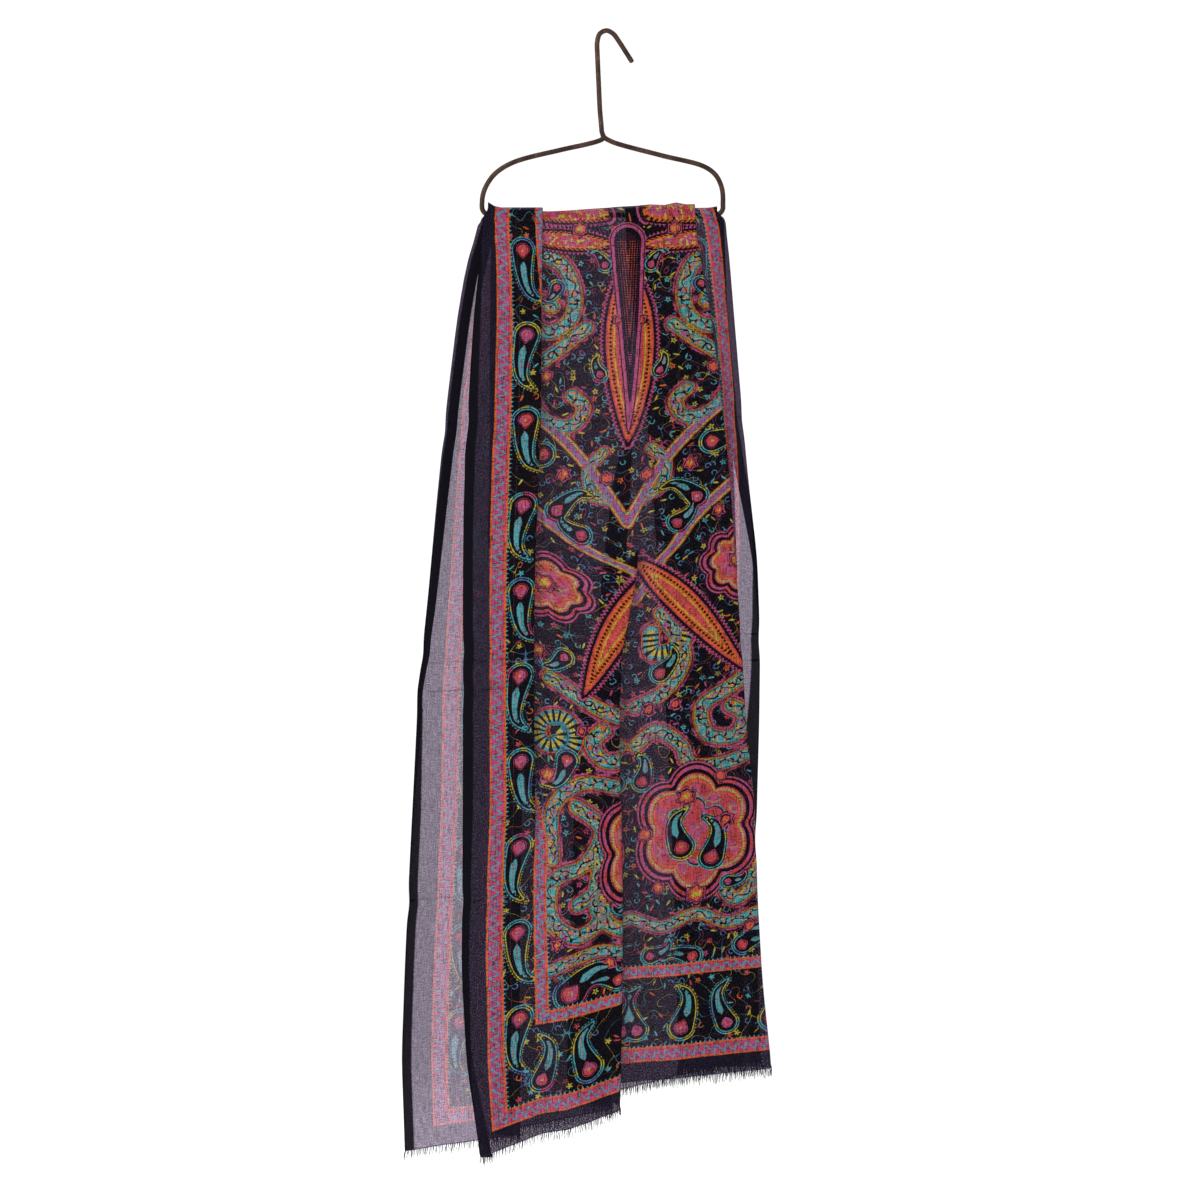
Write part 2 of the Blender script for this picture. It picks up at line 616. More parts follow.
def closest(line, x, y):
    """Distance to a line, the side of it and the length along it, for every point"""
    best, side, along = np.full(x.shape, 1e9), np.zeros(x.shape), np.zeros(x.shape)
    run = 0.0
    for p, q in zip(line[:-1], line[1:]):
        way = q - p
        length = max(1e-6, float(np.hypot(*way)))
        k = np.clip(((x - p[0]) * way[0] + (y - p[1]) * way[1]) / length ** 2, 0, 1)
        dx, dy = x - p[0] - way[0] * k, y - p[1] - way[1] * k
        distance = np.hypot(dx, dy)
        hit = distance < best
        best = np.where(hit, distance, best)
        side = np.where(hit, np.sign(way[0] * dy - way[1] * dx), side)
        along = np.where(hit, run + length * k, along)
        run += length
    return best, side, along, run


SCROLL, CHEVRON, CURL = 0.0, 1.0, 2.0
BANDS = (
    (SCROLL, 7.0, curve([(118, 74), (98, 50), (70, 58), (56, 88), (60, 118), (82, 132), (100, 118), (92, 98),
                         (78, 104)])),
    (SCROLL, 6.5, curve([(44, 128), (66, 146), (92, 168), (100, 198), (84, 226), (58, 232), (46, 214), (58, 200)])),
    (SCROLL, 6.5, curve([(122, 96), (146, 128), (156, 172), (140, 214), (118, 236)])),
    (SCROLL, 5.0, curve([(24, 262), (40, 282), (34, 308), (14, 316)])),
    (SCROLL, 6.5, curve([(30, 452), (58, 500), (40, 540), (8, 556)])),
    (SCROLL, 7.0, curve([(150, 500), (112, 536), (78, 560), (84, 592), (112, 596), (122, 574), (108, 562)])),
    (SCROLL, 6.5, curve([(8, 600), (30, 584), (56, 602), (66, 624), (100, 626), (140, 616), (176, 640), (184, 690)])),
    (SCROLL, 7.0, curve([(150, 640), (128, 668), (150, 702), (180, 712), (184, 752), (158, 776), (132, 760),
                         (138, 736), (156, 742)])),
    (SCROLL, 6.5, curve([(134, 700), (138, 752), (112, 780), (98, 758), (114, 744)])),
    (SCROLL, 5.5, curve([(0, 792), (34, 804), (70, 792), (104, 806), (140, 796), (186, 806)])),
    (CURL, 8.0, curve([(20, 404), (44, 428), (60, 462), (50, 492), (26, 496), (22, 474)])),
    (CURL, 7.0, spiral(160, 560, 26, 6, 0.3, 1.3)),
    (CHEVRON, 5.0, curve([(189, 120), (150, 164), (106, 208), (62, 250), (26, 296), (0, 340)], 3)),
    (CHEVRON, 5.0, curve([(189, 226), (150, 268), (108, 308), (66, 346), (28, 390), (0, 436)], 3)),
)

LEAF, MEDALLION, FEATHER = 0.0, 1.0, 2.0
# Big shapes: kind, half width or radius, and a middle line, or a centre and the number of scallops.
BIG_LEAVES = (
    (LEAF, 25.0, curve([(0, 74), (0, 254)], 3)),
    (LEAF, 15.0, curve([(4, 396), (60, 448), (122, 524)], 5)),
    (FEATHER, 10.0, curve([(20, 8), (60, 5), (130, 4)], 3)),
    (FEATHER, 10.5, curve([(20, 38), (60, 34), (128, 26)], 3)),
    (FEATHER, 9.0, curve([(184, 66), (168, 30), (150, 12)], 3)),
)
MEDALLIONS = (
    (112.0, 398.0, 37.0, 8, 1.0),
    (70.0, 696.0, 60.0, 6, 1.16),
    (178.0, 300.0, 24.0, 6, 1.0),
)
BOTEH, DAGGER, ROSE = 0.0, 1.0, 2.0


def botehs():
    """Middle line and half width of every small teardrop: the fat end first, then the curled tip"""
    made = []

    def add(across, down, length, lean, width, curl=0.35):
        tip = np.array([math.sin(lean), -math.cos(lean)])
        aside = np.array([tip[1], -tip[0]])
        start = np.array([across, down])
        made.append((BOTEH, width, curve([start, start + tip * length * 0.45 - aside * length * curl * 0.1,
                                          start + tip * length * 0.8 + aside * length * curl * 0.15,
                                          start + tip * length + aside * length * curl], 4)))

    for n in range(10):
        add(217, 44 + 89.5 * n, 56, 3.0 if n % 2 else 3.2, 11.5, -0.30)
    for n in range(5):
        add(8 + 47 * n, 918, 46, 0.25 if n % 2 else -0.3, 12.0 if n % 2 else 10.0, 0.4 if n % 2 else -0.4)
    for across, down, length, lean, width, curl in (
            (86, 262, 40, 1.2, 11, 0.4), (70, 322, 36, -0.9, 10, 0.4), (130, 300, 34, 0.8, 10, -0.3),
            (48, 350, 30, 0.9, 9, 0.35), (150, 200, 30, 0.3, 9, 0.4), (30, 178, 20, 0.4, 6, 0.4),
            (54, 716, 40, -0.25, 12, -0.45), (86, 730, 44, 0.2, 12, 0.45), (166, 834, 44, -0.9, 15, 0.4),
            (104, 760, 20, 1.4, 6, 0.4), (150, 590, 34, 2.6, 10, 0.4), (34, 520, 30, 0.7, 9, 0.4),
            (14, 640, 30, 0.2, 9, 0.4), (128, 480, 26, 2.0, 8, 0.4), (168, 400, 36, 0.2, 11, 0.4),
            (120, 832, 30, 1.3, 9, -0.4), (66, 840, 30, -1.3, 9, 0.4), (22, 836, 26, 1.2, 8, 0.4),
            (74, 84, 18, 2.6, 6, 0.4), (24, 60, 20, 0.6, 6, -0.3), (176, 470, 34, -0.4, 10, 0.4)):
        add(across, down, length, lean, width, curl)
    return made


ROSES = ((50, 21, 9), (84, 178, 8), (20, 290, 8), (64, 284, 9), (112, 398, 11), (60, 660, 11), (70, 770, 12),
         (100, 690, 9), (172, 602, 10), (16, 700, 9), (22, 560, 9), (130, 560, 7), (150, 470, 9), (92, 340, 8),
         (128, 812, 8), (30, 760, 8),
         (178, 780, 8), (12, 120, 6), (140, 250, 9), (160, 160, 9), (50, 556, 8), (96, 640, 7), (238, 900, 9))


GOLDEN_ANGLE = 2.39996


def slow_tone(x, y, step, turn):
    """A slow, even wandering between 0 and 1"""
    total = np.zeros(x.shape)
    for k in range(5):
        lean = turn + GOLDEN_ANGLE * k
        run = (x * math.cos(lean) + y * math.sin(lean)) / step * (0.8 + 0.13 * k)
        total += np.sin(2 * math.pi * run + 1.7 * np.sin(run + turn * k) + 3.1 * k)
    return 0.5 + total / 8.0


def print_layers(flat):
    """Fields for the print: bands, big shapes, small shapes and slow tones"""
    x, y = np.abs(flat[..., 0] - WIDTH / 2), np.abs(flat[..., 1] - MIDDLE)

    def keep(layer, score, *values):
        hit = score < layer[0]
        layer[0] = np.where(hit, score, layer[0])
        for i, value in enumerate(values, 1):
            layer[i] = np.where(hit, value, layer[i])

    def blank(value):
        return [np.full(x.shape, 60.0), np.full(x.shape, value), np.zeros(x.shape), np.zeros(x.shape)]

    bands, big, small = blank(9.0), blank(60.0), blank(60.0)
    inside, sides, none = np.full(x.shape, 60.0), np.zeros(x.shape), np.zeros(x.shape)
    for kind, half, line in BANDS:
        near, side, along, total = closest(line, x, y)
        sides = np.where(near - half < bands[0], side * near / half, sides)
        keep(bands, near - half, np.minimum(near / half, 9.0), along, kind)
    for kind, half, line in BIG_LEAVES:
        near, side, along, total = closest(line, x, y)
        k = along / total
        wide = half * np.sin(math.pi * np.clip(0.06 + 0.94 * k, 0, 1) ** 0.8) ** 0.75
        keep(big, near - wide, near - wide, along, kind)
    for across, down, radius, scallops, tall in MEDALLIONS:
        dx, dy = x - across, (y - down) / tall
        angle = np.arctan2(dx, -dy)
        edge = radius * (1 + 0.20 * np.abs(np.cos(scallops * angle / 2)) ** 0.8 - 0.12 - 0.06 * np.cos(angle))
        away = np.hypot(dx, dy) - edge
        keep(big, away, away, (angle + math.pi) * radius, MEDALLION)
    for kind, half, line in botehs():
        near, side, along, total = closest(line, x, y)
        k = along / total
        wide = half * np.clip(1 - k, 0, 1) ** 0.85 + 0.6
        inside = np.where(near - wide < small[0], near, inside)
        keep(small, near - wide, near - wide, along, kind)
    near, side, along, total = closest(curve([(0, 34), (0, 240)], 3), x, y)
    wide = 17.0 * np.clip(1 - along / total, 0, 1) ** 0.8
    keep(small, near - wide, near - wide, along, DAGGER)
    for across, down, radius in ROSES:
        angle = np.arctan2(x - across, y - down)
        away = np.hypot(x - across, y - down) - radius * (0.8 + 0.2 * np.cos(6 * angle))
        keep(small, away, away, (angle + math.pi) * radius, ROSE)
    tones = [slow_tone(x, y, 46.0, 0.4), slow_tone(x, y, 21.0, 1.9), inside]
    return {"print_bands": bands[1:], "print_big": big[1:], "print_small": small[1:], "print_tones": tones,
            "print_side": [sides, none, none]}


class SCARF_OT_cloth(bpy.types.Operator):
    """Lay the one oblong of printed gauze over the bar in its pleats"""
    bl_idname = "scarf.cloth"
    bl_label = "Scarf cloth"

    def execute(self, context):
        rows, flat = scarf_rows()
        piece = add_cloth_grid("scarf_cloth", rows, flat)
        for name, values in print_layers(flat).items():
            layer = piece.data.attributes.new(name, "FLOAT_VECTOR", "POINT")
            layer.data.foreach_set("vector", np.stack(values, -1).astype(np.float32).ravel())
        piece.data.materials.append(gauze_finish(context.scene))
        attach(piece, "root")
        names = [f"cloth_{side}_{part}" for side in ("front", "back") for part in STRETCHES]
        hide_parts(*names, "cloth_turn_over_bar")
        return {"FINISHED"}


# ---------------------------------------------------------------- the gauze's finish, in millimetres on the flat cloth


INKS = ("ground", "plum", "navy", "pink", "red", "orange", "teal", "yellow", "blue", "maroon")
FULL_TURN = 6.283
# How far in from the selvedge and from the hem each stripe begins, how wide it is, and the woven selvedge's width.
OUTER_BACK, OUTER_FRONT, OUTER_HEM, OUTER_WIDTH = 30.0, 27.0, 21.0, 16.5
INNER_SIDE, INNER_HEM, INNER_WIDTH = 74.0, 115.0, 13.0
SELVEDGE = 10.5
STORAGE_CREASES = (222.0, 470.0, 500.0, 716.0)
SHEER_TINT = (0.93, 0.79, 1.0)


def gauze_finish(scene):
    """Printed gauze: the mirrored print on a dark ground, sheer plum margins and woven selvedges"""
    m = Finish("printed_gauze")
    for name in INKS:
        setattr(m, name, tuple(getattr(scene.scarf_colours, name)))
    across, down = m.uv("flat_cloth")[:2]
    m.u, m.v = across * LENGTH, down * LENGTH
    m.flat = m.place(m.u, m.v)
    m.grain = m.noise(m.flat, 0.9, 0.0) - 0.5
    m.tint, m.mottle, m.inside = m.attribute("print_tones")
    u, v = m.u + m.grain * 1.1, m.v + m.grain * 0.9
    m.rise, m.edge, m.end = abs(v - MIDDLE), u.min(WIDTH - u), v.min(LENGTH - v)
    m.front = m.v.under(MIDDLE - 10.0, 20.0)
    m.outer = (m.edge - m.blend(m.front, OUTER_BACK, OUTER_FRONT)).min(m.end - OUTER_HEM)
    m.inner = (m.edge - INNER_SIDE).min(m.end - INNER_HEM)
    field, border = ground_motifs(m)
    field = big_drawing(m, band_drawing(m, field))
    colour = small_drawing(m, m.mix(m.inner.over(0.0, 0.2), border, field))
    # A plain shadow halves the render time and hardly shows in soft light.
    m.material.use_transparent_shadow = False
    return woven(m, stripe_drawing(m, colour))


def ground_motifs(m):
    """Small flowers, leaves, hooks and thin curling vines, in the field and in the border"""
    spot, seed = m.node(
        "ShaderNodeTexVoronoi", {"voronoi_dimensions": "2D", "feature": "F1"},
        {"Vector": m.flat, "Scale": 0.102, "Randomness": 0.95}, ["Position", "Color"])
    sx, sy = m.split(spot)[:2]
    px, py = m.u - sx, m.v - sy
    hue, twist, sort = m.split(seed)
    r = (px * px + py * py).sqrt()
    turn = py.atan2(px) + twist * 6.0
    way = turn % FULL_TURN
    lean = twist * FULL_TURN
    lx, ly = px * lean.cos() + py * lean.sin(), py * lean.cos() - px * lean.sin()
    leaflet = (lx * lx * 0.085 + ly * ly * 1.1 + m.grain * 0.8).under(1.0)
    is_flower = sort.over(0.84, 0.02)
    petals = (r + m.grain).under(0.7 + 2.5 * abs((turn * 2.5).sin()), 0.4) * is_flower
    flower = petals.max(leaflet * sort.under(0.26, 0.02))
    hook = abs(r - 3.0 + way * 0.22).under(0.42, 0.25) * way.under(4.6, 0.2) * sort.within(0.30, 0.58, 0.02)
    lively = m.palette(hue, m.teal, m.yellow, m.pink, m.orange, m.yellow, m.red, m.yellow, m.teal)
    curls = m.noise(m.flat, 0.055, 0.0)
    vine = abs(curls - 0.5).under(0.006, 0.005) * 0.75
    field = m.layers(
        m.ground,
        (vine, m.palette(m.tint, m.teal, m.yellow, m.blue, m.orange)),
        (abs(curls - 0.62).under(0.005, 0.004) * 0.6, m.pink),
        (hook, m.mix(hue.over(0.5, 0.02), m.blue, m.teal)),
        (flower * 0.95, lively),
        (r.under(0.8) * is_flower, m.ground))
    few = hue.over(0.45, 0.02)
    border = m.layers(
        m.ground,
        (vine, m.palette(m.tint, m.blue, m.yellow, m.teal, m.orange)),
        (hook * few, m.mix(hue.over(0.8, 0.02), m.blue, m.orange)),
        (flower * few, lively))
    return field, border


def band_drawing(m, field):
    """Scroll bands with a flower filling, chevron bands and striped curls"""
    reach, along, kind = m.attribute("print_bands")
    reach = reach + m.grain * 0.16
    q = m.attribute("print_side")[0]
    chevron, curl = m.kinds(kind)
    halo = (reach - 0.072 * along.wave(5.0)).under(1.55, 0.06) * (1 - chevron)
    rim = m.layers(
        field,
        (halo, m.mix((m.tint * 4.0).wave(2.0).over(0.6), m.pink, m.maroon)),
        (reach.under(1.34, 0.05), m.ground),
        (reach.under(1.22, 0.05), m.orange),
        (reach.under(1.08, 0.04), m.ground))
    patch = m.noise(m.place(along * 0.9, q * 5.0), 0.105, 0.0)
    florals = m.palette(patch * 2.2 - 0.62, m.teal, m.yellow, m.teal, m.pink, m.teal, m.orange, m.yellow, m.teal)
    stem = abs(q - 0.42 * (along * 0.30).sin()).under(0.10, 0.06)
    flecks = m.noise(m.place(along, q * 6.0), 0.26, 0.0).over(0.68, 0.025)
    scroll = m.layers(
        m.mix(reach.under(0.80, 0.05), m.mix(m.tint.over(0.52, 0.03), m.teal, m.yellow), florals),
        (stem.max(flecks) * reach.under(0.82, 0.05), m.ground),
        (reach.within(0.80, 0.90, 0.03), m.ground))
    zigzag = abs(q - 0.62 * (along.wave(11.0) / 2.75 - 1.0)).under(0.24, 0.06)
    chevrons = m.mix(zigzag, m.mix(reach.under(0.72, 0.05), m.yellow, m.pink), m.blue)
    stripes = m.mix(along.wave(6.0).over(1.3, 0.2), m.ground, m.mix(reach.over(0.5, 0.1), m.yellow, m.teal))
    return m.mix(reach.under(1.0, 0.05), rim, m.layers(scroll, (curl, stripes), (chevron, chevrons)))


def big_drawing(m, field):
    """Leaves, feathers and scalloped medallions"""
    d, along, kind = m.attribute("print_big")
    d = d + m.grain * 1.0
    medal, feather = m.kinds(kind)
    tooth = d + 3.0 * (along.wave(4.4) / 2.2)
    field = m.layers(
        field,
        (tooth.under(6.4) * (1 - medal), m.mix(feather, m.pink, m.ground)),
        (tooth.under(4.4) * (1 - medal), m.mix(feather, m.maroon, m.pink)),
        ((d + 0.8 * along.wave(4.0)).under(5.4) * medal, m.maroon),
        (d.under(3.4) * medal, m.pink),
        (d.under(1.6), m.ground))
    bead = abs(along.wave(9.0) - 2.25)
    chain = (bead + abs(d + 12.5) * 0.8).under(2.4)
    leaf = m.layers(
        m.mix(d.under(-2.2, 0.4), m.red, m.orange),
        (d.under(-8.6, 0.4), m.yellow),
        (d.under(-9.8, 0.4), m.mix(chain, m.orange, m.red)),
        ((bead + abs(d + 5.6)).under(1.75), m.ground))
    barbs = (along + d * 1.6).wave(5.0).over(1.3) * d.over(-3.2)
    fleck = m.noise(m.flat, 0.28, 0.0).over(0.63, 0.02)
    plume = m.layers(
        m.mix(d.under(-4.6, 0.4), m.orange, m.mix(m.mottle.over(0.5, 0.1), m.pink, m.red)),
        (barbs, m.ground),
        (fleck * d.under(-3.4), m.yellow))
    beading = (abs(along.wave(6.0) - 1.5) + 0.7 * abs(d + 11.5)).under(1.5)
    lace = abs(m.noise(m.flat, 0.075, 0.0) - 0.5)
    heart = d.under(-17.5, 0.5)
    medallion = m.layers(
        m.mix(m.mottle.over(0.50, 0.05), m.pink, m.red),
        (d.within(-8.2, -4.2), m.ground),
        (beading, m.yellow),
        (d.within(-16.4, -14.8), m.orange),
        (lace.under(0.030, 0.012) * heart, m.mix(m.mottle.over(0.46, 0.05), m.yellow, m.orange)),
        (lace.under(0.009, 0.006) * heart, m.maroon),
        (d.within(-33.5, -31.8), m.ground),
        (d.within(-31.8, -30.4), m.teal))
    return m.mix(d.under(-0.8), field, m.layers(leaf, (feather, plume), (medal, medallion)))


def small_drawing(m, colour):
    """Botehs, the dagger leaf and roses, which lie on everything else in the print"""
    t, along, kind = m.attribute("print_small")
    t = t + m.grain * 0.7
    dagger, rose = m.kinds(kind)
    outline = m.mix(dagger, m.palette(m.tint, m.blue, m.teal, m.yellow, m.teal, m.pink), m.pink)
    colour = m.layers(
        colour,
        ((t + 0.875 * along.wave(3.2)).under(2.8) * (1 - rose), outline),
        (t.under(1.7), m.ground),
        (t.under(0.5, 0.25), m.mix(rose, outline, m.pink)),
        (t.under(m.blend(dagger, -0.6, -2.6), 0.25), m.ground),
        (t.under(-1.9, 0.25) * rose, m.mix(along.wave(3.4).over(0.8, 0.2), m.red, m.orange)))
    rows = (abs(along.wave(5.0) - 1.25) + abs(t.wave(5.2) - 1.3)).under(0.62, 0.2)
    deep = t.under(-8.5, 0.4)
    blade = m.mix(rows, m.mix(deep, m.ground, m.maroon), m.mix(deep, m.pink, m.orange))
    half = m.inside - t
    past, spread = along / half, m.inside / half
    scallop = 0.16 * (along * 1.2 + m.inside * 1.4).wave(2.8)
    head = (spread + past * 0.75 + scallop).under(0.70, 0.04)
    eye = (spread + past).under(0.17, 0.05)
    tail = (spread - 0.38 * (past * 1.1 - 1.0).min(1.0)).under(0.0, 0.05)
    studs = (abs(along.wave(5.4) - 1.35) + m.inside * 0.8).under(1.0)
    petals = m.mix((m.tint * 3.5).wave(2.0).over(0.5, 0.1), m.pink, m.red)
    boteh = m.layers(
        m.ground,
        (tail, m.mix(studs, m.teal, m.red)),
        (head, m.mix(eye, petals, m.yellow)))
    return m.layers(
        colour,
        (t.under(m.blend(dagger, -2.6, -4.2)) * (1 - rose), m.mix(dagger, boteh, blade)),
        (t.under(-5.2, 0.4) * rose, m.yellow))


def stripe_drawing(m, colour):
    """Both stripes: orange edges, a leaning zigzag on pink, small teeth on the inner side"""
    is_outer = m.outer.under(24.0, 0.1)
    corner = m.end - m.edge
    run = m.blend(is_outer, m.blend((corner - (INNER_HEM - INNER_SIDE)).over(0.0, 0.5), m.u, m.v),
                  m.blend((corner + (OUTER_FRONT - OUTER_HEM)).over(0.0, 0.5), m.u, m.v))
    depth, width = m.blend(is_outer, m.inner, m.outer), m.blend(is_outer, INNER_WIDTH, OUTER_WIDTH)
    past = depth - width
    teeth = past - 2.6 * (1 - run.wave(4.6) / 1.1)
    off_middle = abs(depth - width * 0.5) - width * 0.5
    swing = depth - width * 0.47 - 0.29 * width * ((run + depth * 0.28).wave(10.4) / 2.6 - 1.0)
    notch = (abs((run + 2.0).wave(5.2) - 1.3) + abs(depth - width * 0.80)).under(1.1)
    stripe = m.layers(
        m.orange,
        ((off_middle + 2.0).under(0.0), m.mix(m.mottle.over(0.56, 0.08) * 0.45, m.pink, m.red)),
        (abs(swing).under(1.6, 0.4), m.mix(m.grain.over(0.06, 0.1), m.teal, m.blue)),
        (notch, m.red))
    return m.layers(
        colour,
        (past.over(0.0, 0.2) * teeth.under(0.0), m.teal),
        (off_middle.under(0.0, 0.25), stripe))


def storage_creases(m):
    """Thin dark lines where the folded scarf lay in store"""
    lines = [abs(m.rise - place - (m.u - 40.0) * 0.03).under(0.9, 0.7) for place in STORAGE_CREASES]
    return lines[0].max(lines[1]).max(lines[2]).max(lines[3]) * m.mottle.over(0.42, 0.08)


def woven(m, colour):
    """Slubs both ways, single threads, and light coming through the open places"""
    u, v = m.u, m.v
    slub = (m.noise(m.place(u * 0.16, v * 0.95), 1.0, 0.0) * 0.40
            + m.noise(m.place(u * 0.95, v * 0.07), 1.0, 1.0) * 0.60)
    gaps = m.noise(m.place(u * 1.25, v), 0.80, 0.0) * 2.0
    selvedge = m.edge.under(SELVEDGE, 0.6)
    colour = m.layers(colour, (m.outer.under(0.0), m.plum), (selvedge, m.navy))
    loose = (1 - m.front).max(u.over(517.0, 6.0))
    sheer = m.blend(loose, m.blend(u.over(300.0, 140.0), 0.054, 0.112), 0.225)
    clear = sheer * m.blend(loose, gaps * gaps * gaps * 1.05, 0.35 + gaps * 0.65) * (0.30 + slub * 1.4)
    clear = clear * (1 - selvedge * 0.96)
    thin = slub.under(0.46, 0.06) * 0.5 + gaps.under(0.86, 0.12) * 0.35
    crease = storage_creases(m)
    colour = m.layers(
        colour,
        (thin + m.mottle * 0.15, m.ground),
        (slub.over(0.60, 0.08) * 0.15, m.plum),
        (crease * 0.35, m.ground))
    twill = (u * 4.2).sin() + (v * 4.2).sin()
    bump = m.bump(crease * -0.8 + gaps * 0.35 + twill * 0.12, 0.0006, 0.55)
    m.let_light_through((1.0 - clear + crease * 0.07).min(1.0).max(0.3), SHEER_TINT)
    return m.finish(Base_Color=colour, Roughness=0.84 + (slub - 0.5) * 0.2, Normal=bump, Specular_IOR_Level=0.03)


STRAND_RINGS, STRAND_SIDES = 5, 3
STRAND_LAP = 0.0012  # metres of each loose end that lie on the cloth
CLUMP = 6  # loose ends that lean much the same way


def loose_end(root, lean, long, sway, radius, turn):
    """Points round one tapering, gently bent loose end"""
    points = []
    for t in np.arange(STRAND_RINGS) / (STRAND_RINGS - 1):
        r = radius * (1 - 0.55 * t)
        centre = root + np.array([
            lean * long * t + sway[0] * math.sin(3 * t), sway[1] * math.sin(2.5 * t) * t,
            STRAND_LAP - (long + STRAND_LAP) * t])
        for a in range(STRAND_SIDES):
            angle = 2 * math.pi * a / STRAND_SIDES + turn
            points.append(centre + r * np.array([math.cos(angle), math.sin(angle), 0]))
    return points


class SCARF_OT_fringe(bpy.types.Operator):
    """Loose warp ends below both hems"""
    bl_idname = "scarf.fringe"
    bl_label = "Eyelash fringe"

    def execute(self, context):
        sizes = context.scene.scarf_sizes
        for side, name in ((-1, "front"), (1, "back")):
            hem = creased(falls(side, [0.985, 1.0])[0], side)[1] * MM
            steps = np.linalg.norm(np.diff(hem, axis=0), axis=1)
            run = np.concatenate([[0], np.cumsum(steps)])
            count = int(run[-1] / sizes.strand_spacing)
            rng = np.random.default_rng(7 + side)
            places = (np.arange(count) + 0.5 + rng.uniform(-0.4, 0.4, count)) * run[-1] / count
            roots = np.stack([np.interp(places, run, hem[:, i]) for i in range(3)], 1)
            points, faces = [], []
            clump = rng.uniform(-1, 1, count // CLUMP + 2)
            for n, root in enumerate(roots):
                k = n / CLUMP
                lean = 0.22 * (clump[int(k)] * (1 - k % 1) + clump[int(k) + 1] * (k % 1)) + rng.uniform(-0.16, 0.16)
                long = sizes.strand_length * rng.uniform(0.55, 1.0)
                sway = rng.uniform(-0.0006, 0.0006, 2)
                faces += sleeve(len(points), STRAND_RINGS, STRAND_SIDES)
                points += loose_end(root, lean, long, sway, sizes.strand_radius, n)
            piece = one_mesh(f"fringe_{name}", points, faces)
            piece.data.materials.append(yarn_finish(context.scene))
            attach(piece, "root")
            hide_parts(*[f"fringe_{name}_{part}" for part in STRETCHES])
        return {"FINISHED"}


def yarn_finish(scene):
    """Loose warp ends: dark plum yarn, uneven in tone, with a fine twist"""
    m = Finish("loose_yarn")
    place = m.where()
    x, y, z = m.split(place)
    tone = m.noise(place, 900.0, 2.0, False)
    fuzz = m.noise(place, 4000.0, 1.0, False)
    twist = ((z * 9000.0) + (x + y) * 14000.0).sin()
    colour = m.mix(tone.over(0.5, 0.15), tuple(scene.scarf_colours.ground), tuple(scene.scarf_colours.plum))
    colour = m.mix(fuzz.over(0.62, 0.06) * 0.35, colour, tuple(scene.scarf_colours.blue))
    bump = m.bump(twist * 0.5 + fuzz, 0.0001, 0.6)
    return m.finish(Base_Color=colour, Roughness=0.78 + tone * 0.2, Normal=bump, Specular_IOR_Level=0.1)


HANGER_LINE = (
    (27.3, -30.4), (20.1, -19.1), (13.4, -8.7), (7.7, -1.0), (0.5, 2.6), (-6.2, -0.5), (-9.0, -9.3), (-8.8, -22.7),
    (-7.6, -50), (-6.2, -80), (-5.3, -90), (-4.58, -98), (-4.2, -102), (-1.6, -107.6), (4.1, -111.0), (11.3, -113.9),
    (58, -126.3), (101, -137.5), (113.2, -146.6), (119.0, -158.5), (120.5, -168), (120.5, -174), (120.5, -179),
    (120.5, -180.7), (118.1, -185.2), (112, -187.5), (60, -187.5), (0, -187.5), (-60, -187.5), (-119.1, -187.5),
    (-125.2, -185.2), (-127.6, -180.7), (-127.6, -174), (-127.0, -168), (-123.6, -158), (-114.3, -145),
    (-95.8, -133.4), (-47.4, -120.6), (-20, -114.6), (-8.6, -111.5), (-4.6, -109.9), (-2.1, -107.8),
)
WIRE_SIDES = 16
WELD = (-3.0, -108.4)
WELD_RADIUS = 3.0
# The hook's tip is ground round: distance from the end, and share of the wire's thickness there.
ROUNDED_TIP = ((0.0, 0.42), (0.25, 0.68), (0.7, 0.88), (1.4, 0.98), (2.2, 1.0))


def between(p, q, start, end, at):
    return p + (q - p) * ((at - start) / (end - start))


def bent(points, step):
    """The wire's middle line, rounded through the listed points"""
    points = [np.array(p, float) for p in points]
    made = []
    for i in range(len(points) - 1):
        near = [points[max(0, i - 1)], points[i], points[i + 1], points[min(len(points) - 1, i + 2)]]
        knots = [0.0]
        for p, q in zip(near[:-1], near[1:]):
            knots.append(knots[-1] + (math.dist(p, q) ** 0.5 or 1.0))
        pieces = max(2, int(math.dist(near[1], near[2]) / step))
        for s in range(pieces):
            at = knots[1] + (knots[2] - knots[1]) * s / pieces
            a = [between(near[j], near[j + 1], knots[j], knots[j + 1], at) for j in (0, 1, 2)]
            b = [between(a[j], a[j + 1], knots[j], knots[j + 2], at) for j in (0, 1)]
            made.append(between(b[0], b[1], knots[1], knots[2], at))
    return made + [points[-1]]


